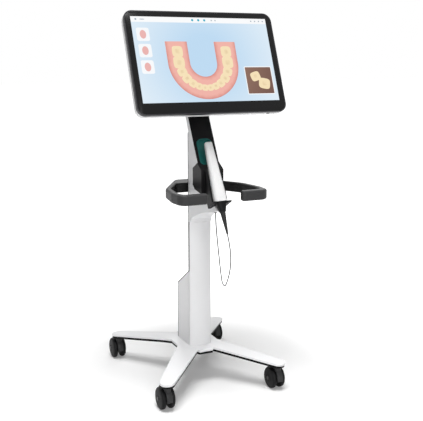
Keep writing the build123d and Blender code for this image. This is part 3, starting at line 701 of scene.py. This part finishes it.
def lit_material(name):
    material = bpy.data.materials.new(name)
    material.use_nodes = True
    bsdf = material.node_tree.nodes["Principled BSDF"]
    bsdf.inputs["Base Color"].default_value = dark_base
    bsdf.inputs["Roughness"].default_value = glass_roughness
    bsdf.inputs["Specular IOR Level"].default_value = glass_gloss
    bsdf.inputs["Emission Strength"].default_value = 1.0
    return material, material.node_tree, bsdf


def lit_flat(name, tone, drift=0.03):
    """Even lit field with the slow drift of a backlight."""
    material, tree, bsdf = lit_material(name)
    grain = place_grain(tree, backlight_grain)
    ramp = two_tone(tree, [c * (1 - drift) for c in tone], tone, *drift_span)
    tree.links.new(grain.outputs["Drift"], ramp.inputs["Fac"])
    tree.links.new(ramp.outputs["Color"], bsdf.inputs["Emission Color"])
    return material


def lit_glow(name, middle, edge, centre, reach):
    """Lit field that fades from a tone in the middle to another at the edge."""
    material, tree, bsdf = lit_material(name)
    place = tree.nodes.new("ShaderNodeTexCoord")
    shift = tree.nodes.new("ShaderNodeMapping")
    shift.inputs["Location"].default_value = [-c / r for c, r in zip(centre, reach)]
    shift.inputs["Scale"].default_value = [1 / r for r in reach]
    ball = tree.nodes.new("ShaderNodeTexGradient")
    ball.gradient_type = "SPHERICAL"
    ramp = two_tone(tree, edge, middle, 0.0, glow_edge)
    tree.links.new(place.outputs["Object"], shift.inputs["Vector"])
    tree.links.new(shift.outputs["Vector"], ball.inputs["Vector"])
    tree.links.new(ball.outputs["Fac"], ramp.inputs["Fac"])
    tree.links.new(ramp.outputs["Color"], bsdf.inputs["Emission Color"])
    return material


def lit_relief(name, deep, high, top, mottle_scale):
    """Lit shape whose tone follows its height above the glass, with a mottled tint."""
    material, tree, bsdf = lit_material(name)
    place = tree.nodes.new("ShaderNodeTexCoord")
    height = tree.nodes.new("ShaderNodeVectorMath")
    height.operation = "DOT_PRODUCT"
    height.inputs[1].default_value = glass_normal
    level = tree.nodes.new("ShaderNodeMapRange")
    foot = glass_front.dot(glass_normal)
    level.inputs["From Min"].default_value = foot
    level.inputs["From Max"].default_value = foot + top
    mottle = tree.nodes.new("ShaderNodeTexNoise")
    mottle.inputs["Scale"].default_value = mottle_scale
    sum_up = tree.nodes.new("ShaderNodeMath")
    sum_up.operation = "MULTIPLY_ADD"
    sum_up.inputs[1].default_value = mottle_share
    ramp = two_tone(tree, deep, high, *relief_span)
    tree.links.new(place.outputs["Object"], height.inputs[0])
    tree.links.new(place.outputs["Object"], mottle.inputs["Vector"])
    tree.links.new(height.outputs["Value"], level.inputs["Value"])
    tree.links.new(mottle.outputs["Fac"], sum_up.inputs[0])
    tree.links.new(level.outputs["Result"], sum_up.inputs[2])
    tree.links.new(sum_up.outputs[0], ramp.inputs["Fac"])
    tree.links.new(ramp.outputs["Color"], bsdf.inputs["Emission Color"])
    return material


# %% [markdown]
# ## Picture on the display
# The display shows a plain scanning program: a white bar with round keys, a pale blue field, a rail
# of small tiles, a camera tile and one large scan of a lower jaw. Each is a thin plate or a low
# relief on the glass, so that the picture is made of simple shapes and needs no image.

# %% Screen fields and tiles
screen_width = 494 * mm
screen_height = 296 * mm
screen_rise = 10 * mm
bar_height = 19 * mm
leaf = 0.06 * mm
on_screen = on_glass @ Matrix.Translation((0, screen_rise, 0))
screen_middle = on_screen.translation
field_reach = (0.34, 0.34, 0.34)


def screen_piece(piece, material):
    apply_place(piece, on_screen)
    return dress(piece, material, "display", "screen_panel")


def dots(name, spots, layer):
    """Round or oval plates on the screen, each given by its middle and its half sizes."""
    made = []
    for x, y, half_x, half_y in spots:
        deselect()
        bpy.ops.mesh.primitive_circle_add(
            vertices=32, radius=1, fill_type="NGON", location=(x * mm, y * mm, layer * leaf)
        )
        oval = named(name)
        oval.scale = (half_x * mm, half_y * mm, 1)
        apply_place(oval)
        edit_all(oval)
        draw_up(leaf)
        made.append(oval)
    return join(name, made)


def tiles(name, spots, corner, layer):
    """Round-cornered plates on the screen, each given by its middle and its sizes."""
    made = [
        plate(name, (x * mm, y * mm), (wide * mm, high * mm), corner * mm, leaf, layer * leaf)
        for x, y, wide, high in spots
    ]
    return join(name, made)


field_blue = lit_glow(
    "field_blue", (0.50, 0.69, 0.87), (0.79, 0.87, 0.93), screen_middle, field_reach
)
bar_white = lit_flat("bar_white", (0.95, 0.96, 0.97))
tile_white = lit_flat("tile_white", (0.93, 0.95, 0.97))
key_teal = lit_flat("key_teal", (0.05, 0.42, 0.55))
key_grey = lit_flat("key_grey", (0.38, 0.44, 0.50))
shape_pink = lit_flat("shape_pink", (0.83, 0.45, 0.43))
camera_brown = lit_glow(
    "camera_brown", (0.30, 0.17, 0.12), (0.10, 0.04, 0.035), screen_middle, field_reach
)

half_high = screen_height / mm / 2
bar_y = half_high - bar_height / mm / 2
rail_x = -212
rail_heights = (86, 30, -26)
rail_tile = (44, 46)
rail_shape = (11, 15)
camera_tile = (184, -76)
camera_frame = (104, 100)
camera_field = (98, 94)
teal_key = (4.2, 4.2)
teal_places = (-30, -8, 14)
grey_key = (2.6, 2.6)
grey_places = (40, 54, 190, 205, 220, 235)
menu_dot = (-230, bar_y, 3.4, 3.4)
menu_stroke = (-208, bar_y, 9.0, 1.6)
bar_spots = [(0, bar_y, screen_width / mm, bar_height / mm)]
rail_spots = [(rail_x, y, *rail_tile) for y in rail_heights]
shape_spots = [(rail_x, y, *rail_shape) for y in rail_heights]
frame_spots = [(*camera_tile, *camera_frame)]
field_spots = [(*camera_tile, *camera_field)]
teal_spots = [(x, bar_y, *teal_key) for x in teal_places]
grey_spots = [(x, bar_y, *grey_key) for x in grey_places] + [menu_dot, menu_stroke]
screen_piece(plate("screen_field", (0, 0), (screen_width, screen_height), 0, leaf), field_blue)
screen_piece(tiles("screen_bar", bar_spots, corner=0, layer=1), bar_white)
screen_piece(tiles("rail_tiles", rail_spots, corner=7, layer=1), tile_white)
screen_piece(tiles("camera_frame", frame_spots, corner=4, layer=1), tile_white)
screen_piece(tiles("camera_field", field_spots, corner=2, layer=2), camera_brown)
screen_piece(dots("teal_keys", teal_spots, layer=2), key_teal)
screen_piece(dots("grey_keys", grey_spots, layer=2), key_grey)
screen_piece(dots("rail_shapes", shape_spots, layer=2), shape_pink)
print("screen fields", round(screen_width, 3), "by", round(screen_height, 3))

# %% [markdown]
# ## Scanned jaw
# The scan is a horseshoe of gum with a row of teeth. The gum is half a torus whose cut ends are drawn
# out into two legs, pressed flat. One molar is modelled from a cube, with its top face inset and
# pushed in, and then copied round the arch, each copy at its own width.

# %% Scanned jaw
arch_radius = 88 * mm
arch_leg = 74 * mm
gum_half_width = 39 * mm
gum_relief = 1.2 * mm
tooth_relief = 2.4 * mm
arch_middle = (-14, -12)
tooth_widths = (20, 21, 25, 26, 27, 39, 37)
tooth_depths = (22, 24, 28, 33, 34, 40, 38)
tooth_overlap = 1.06
molar_insets = ((0.2, 0), (0.12, -0.35))
camera_teeth = ((-14, 14, 36, 0.3), (16, -12, 42, -0.2))
camera_tooth_depth = 0.9
gum_edge = 3 * mm


def arch_point(run):
    """Place and turn at a distance along the arch, counted from the front."""
    quarter = arch_radius * pi / 2
    side = 1 if run >= 0 else -1
    if abs(run) <= quarter:
        turn = run / arch_radius
        return arch_radius * sin(turn), -arch_radius * cos(turn), turn
    return side * arch_radius, abs(run) - quarter, side * pi / 2


def make_gum():
    deselect()
    bpy.ops.mesh.primitive_torus_add(
        major_radius=arch_radius, minor_radius=gum_half_width, major_segments=72, minor_segments=28
    )
    gum = named("scan_gum")
    edit_all(gum)
    bpy.ops.mesh.bisect(plane_co=(0, 0, 0), plane_no=(0, 1, 0), clear_outer=True)
    bpy.ops.mesh.extrude_region_move(TRANSFORM_OT_translate={"value": (0, arch_leg, 0)})
    bpy.ops.mesh.fill()
    bpy.ops.mesh.select_all(action="SELECT")
    bpy.ops.transform.resize(value=(1, 1, gum_relief / gum_half_width))
    bpy.ops.mesh.select_all(action="SELECT")
    bpy.ops.mesh.bisect(plane_co=(0, 0, 0), plane_no=(0, 0, 1), clear_inner=True, use_fill=True)
    bpy.ops.object.mode_set(mode="OBJECT")
    soften(gum, gum_edge)
    gum.location = (arch_middle[0] * mm, arch_middle[1] * mm, leaf)
    return apply_place(gum)


def make_molar():
    deselect()
    bpy.ops.mesh.primitive_cube_add(size=1, location=(0, 0, 0.5))
    molar = named("molar")
    apply_place(molar)
    edit_all(molar)
    bpy.ops.mesh.subdivide(number_cuts=1)
    select_faces(molar, upwards)
    for thickness, depth in molar_insets:
        bpy.ops.mesh.inset(thickness=thickness, depth=depth)
    bpy.ops.object.mode_set(mode="OBJECT")
    smooth = molar.modifiers.new("round", "SUBSURF")
    smooth.levels = 2
    smooth.render_levels = 2
    apply_modifiers(molar)
    bpy.ops.object.shade_smooth()
    return molar


def make_teeth():
    molar = make_molar()
    made = []
    for side in (-1, 1):
        run = 0.0
        for wide, deep in zip(tooth_widths, tooth_depths):
            x, y, turn = arch_point(side * (run + wide / 2) * mm)
            tooth = copy_of(molar)
            tooth.scale = (wide * tooth_overlap * mm, deep * mm, tooth_relief)
            tooth.rotation_euler = (0, 0, turn)
            tooth.location = (x + arch_middle[0] * mm, y + arch_middle[1] * mm, leaf)
            made.append(apply_place(tooth))
            run += wide
    for x, y, size, turn in camera_teeth:
        tooth = copy_of(molar)
        tooth.scale = (size * mm, size * camera_tooth_depth * mm, tooth_relief)
        tooth.rotation_euler = (0, 0, turn)
        tooth.location = ((camera_tile[0] + x) * mm, (camera_tile[1] + y) * mm, 2 * leaf)
        made.append(apply_place(tooth))
    bpy.data.objects.remove(molar)
    return join("scan_teeth", made)


gum_pink = lit_relief("gum_pink", (0.62, 0.20, 0.17), (0.86, 0.44, 0.38), gum_relief, 60)
tooth_ivory = lit_relief("tooth_ivory", (0.45, 0.24, 0.10), (0.90, 0.74, 0.47), tooth_relief, 90)
screen_piece(make_gum(), gum_pink)
screen_piece(make_teeth(), tooth_ivory)
print("scan of", 2 * len(tooth_widths), "teeth")

# %% [markdown]
# ## Screws and vents
# The back shows how the cart goes together. Pan-head screws hold the compartment's lid and the
# display's mount. At the top of the display, a row of black plates stands for the vent slots that let
# warm air out; their black is painted shade for the dark inside the openings. One screw is turned from
# a cylinder: its top is inset and drawn up into a low dome, and a cross is pressed into it.
# Copies of it go where the solids' own boxes say.

# %% Screws and vents
screw_radius = 3.2 * mm
screw_rise = 1.6 * mm
screw_sink = 0.4 * mm
screw_edge = 0.15 * mm
screw_inset = 0.35 * screw_radius
screw_dome = 0.25 * screw_rise
cross_size = (1.1 * screw_radius, 0.25 * screw_radius, 1.2 * screw_rise)
cross_height = 1.25 * screw_rise
lid_edge = 7 * mm
lid_rows = (0.07, 0.5, 0.93)
mount_edge = 9 * mm
mount_height = 110 * mm
mount_depth = 62 * mm
lid_shoulder = 343 * mm
vent_depth = 48 * mm
slot_count = 22
slot_pitch = 9 * mm
slot_width = 4 * mm
slot_length = 26 * mm
slot_rise = 124 * mm
slot_proud = screw_sink + 0.3 * mm
slot_round = 0.49 * slot_width


def make_screw():
    """Screw head that stands on the XY plane and points up."""
    deselect()
    bpy.ops.mesh.primitive_cylinder_add(
        vertices=24, radius=screw_radius, depth=screw_rise, location=(0, 0, screw_rise / 2)
    )
    screw = apply_place(named("screw"))
    select_faces(screw, upwards)
    bpy.ops.mesh.inset(thickness=screw_inset, depth=screw_dome)
    bpy.ops.object.mode_set(mode="OBJECT")
    for turn in (0, pi / 2):
        deselect()
        bpy.ops.mesh.primitive_cube_add(size=1, location=(0, 0, cross_height), rotation=(0, 0, turn))
        cutter = named("cross")
        cutter.scale = cross_size
        combine(screw, apply_place(cutter), "DIFFERENCE")
    return soften(screw, screw_edge, 2)


def facing(spot, out, up):
    """Matrix that stands a piece on a spot with its height along one direction."""
    out = out.normalized()
    across = up.cross(out).normalized()
    turn = Matrix((across, out.cross(across), out)).transposed().to_4x4()
    return Matrix.Translation(spot - out * screw_sink) @ turn


def screws(name, pattern, places, material, body, slot):
    made = [apply_place(copy_of(pattern), matrix) for matrix in places]
    return dress(join(name, made), material, body, slot)


screw = make_screw()
lid_low, lid_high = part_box("power_box_lid")
lid_places = []
for share in lid_rows:
    for x in (lid_low.x + lid_edge, lid_high.x - lid_edge):
        height = lid_low.z + share * (lid_shoulder - lid_low.z)
        lid_places.append(facing(Vector((x, lid_high.y, height)), backwards, upwards))
screws("lid_screws", screw, lid_places, zinc, "stand", "bright_steel")

pin_low, pin_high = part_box("tilt_pin")
plate_low, plate_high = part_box("display_mount_plate")
mount_middle = glass_up * ((pin_low + pin_high) / 2 - glass_front).dot(glass_up)
mount_half_height = mount_height / 2 - mount_edge
mount_places = []
for x in (plate_low.x + mount_edge, plate_high.x - mount_edge):
    for height in (-mount_half_height, mount_half_height):
        spot = glass_front + mount_middle + glass_up * height - glass_normal * mount_depth
        mount_places.append(facing(Vector((x, spot.y, spot.z)), -glass_normal, glass_up))
screws("mount_screws", screw, mount_places, zinc, "display", "bright_steel")
bpy.data.objects.remove(screw)

# Painted shade: the vent slots are black plates on the cover, and their black stands for the shade
# inside the openings.
slots = []
slot_size = (slot_width, slot_length)
for place in range(slot_count):
    x = (place - (slot_count - 1) / 2) * slot_pitch
    slots.append(plate("vent_slot_shade", (x, slot_rise), slot_size, slot_round, slot_proud))
vent = join("vent_slot_shade", slots)
apply_place(vent, facing(glass_front - glass_normal * vent_depth, -glass_normal, glass_up))
dress(vent, black, "display", "black_plastic")
print("screws", len(lid_places) + len(mount_places), "and vent slots", slot_count)

# %% [markdown]
# ## End
# The finished pieces have to stay inside the solids' own box. The view layer is brought up to date,
# because a new curve has no true box before that.

# %% End
bpy.context.view_layer.update()
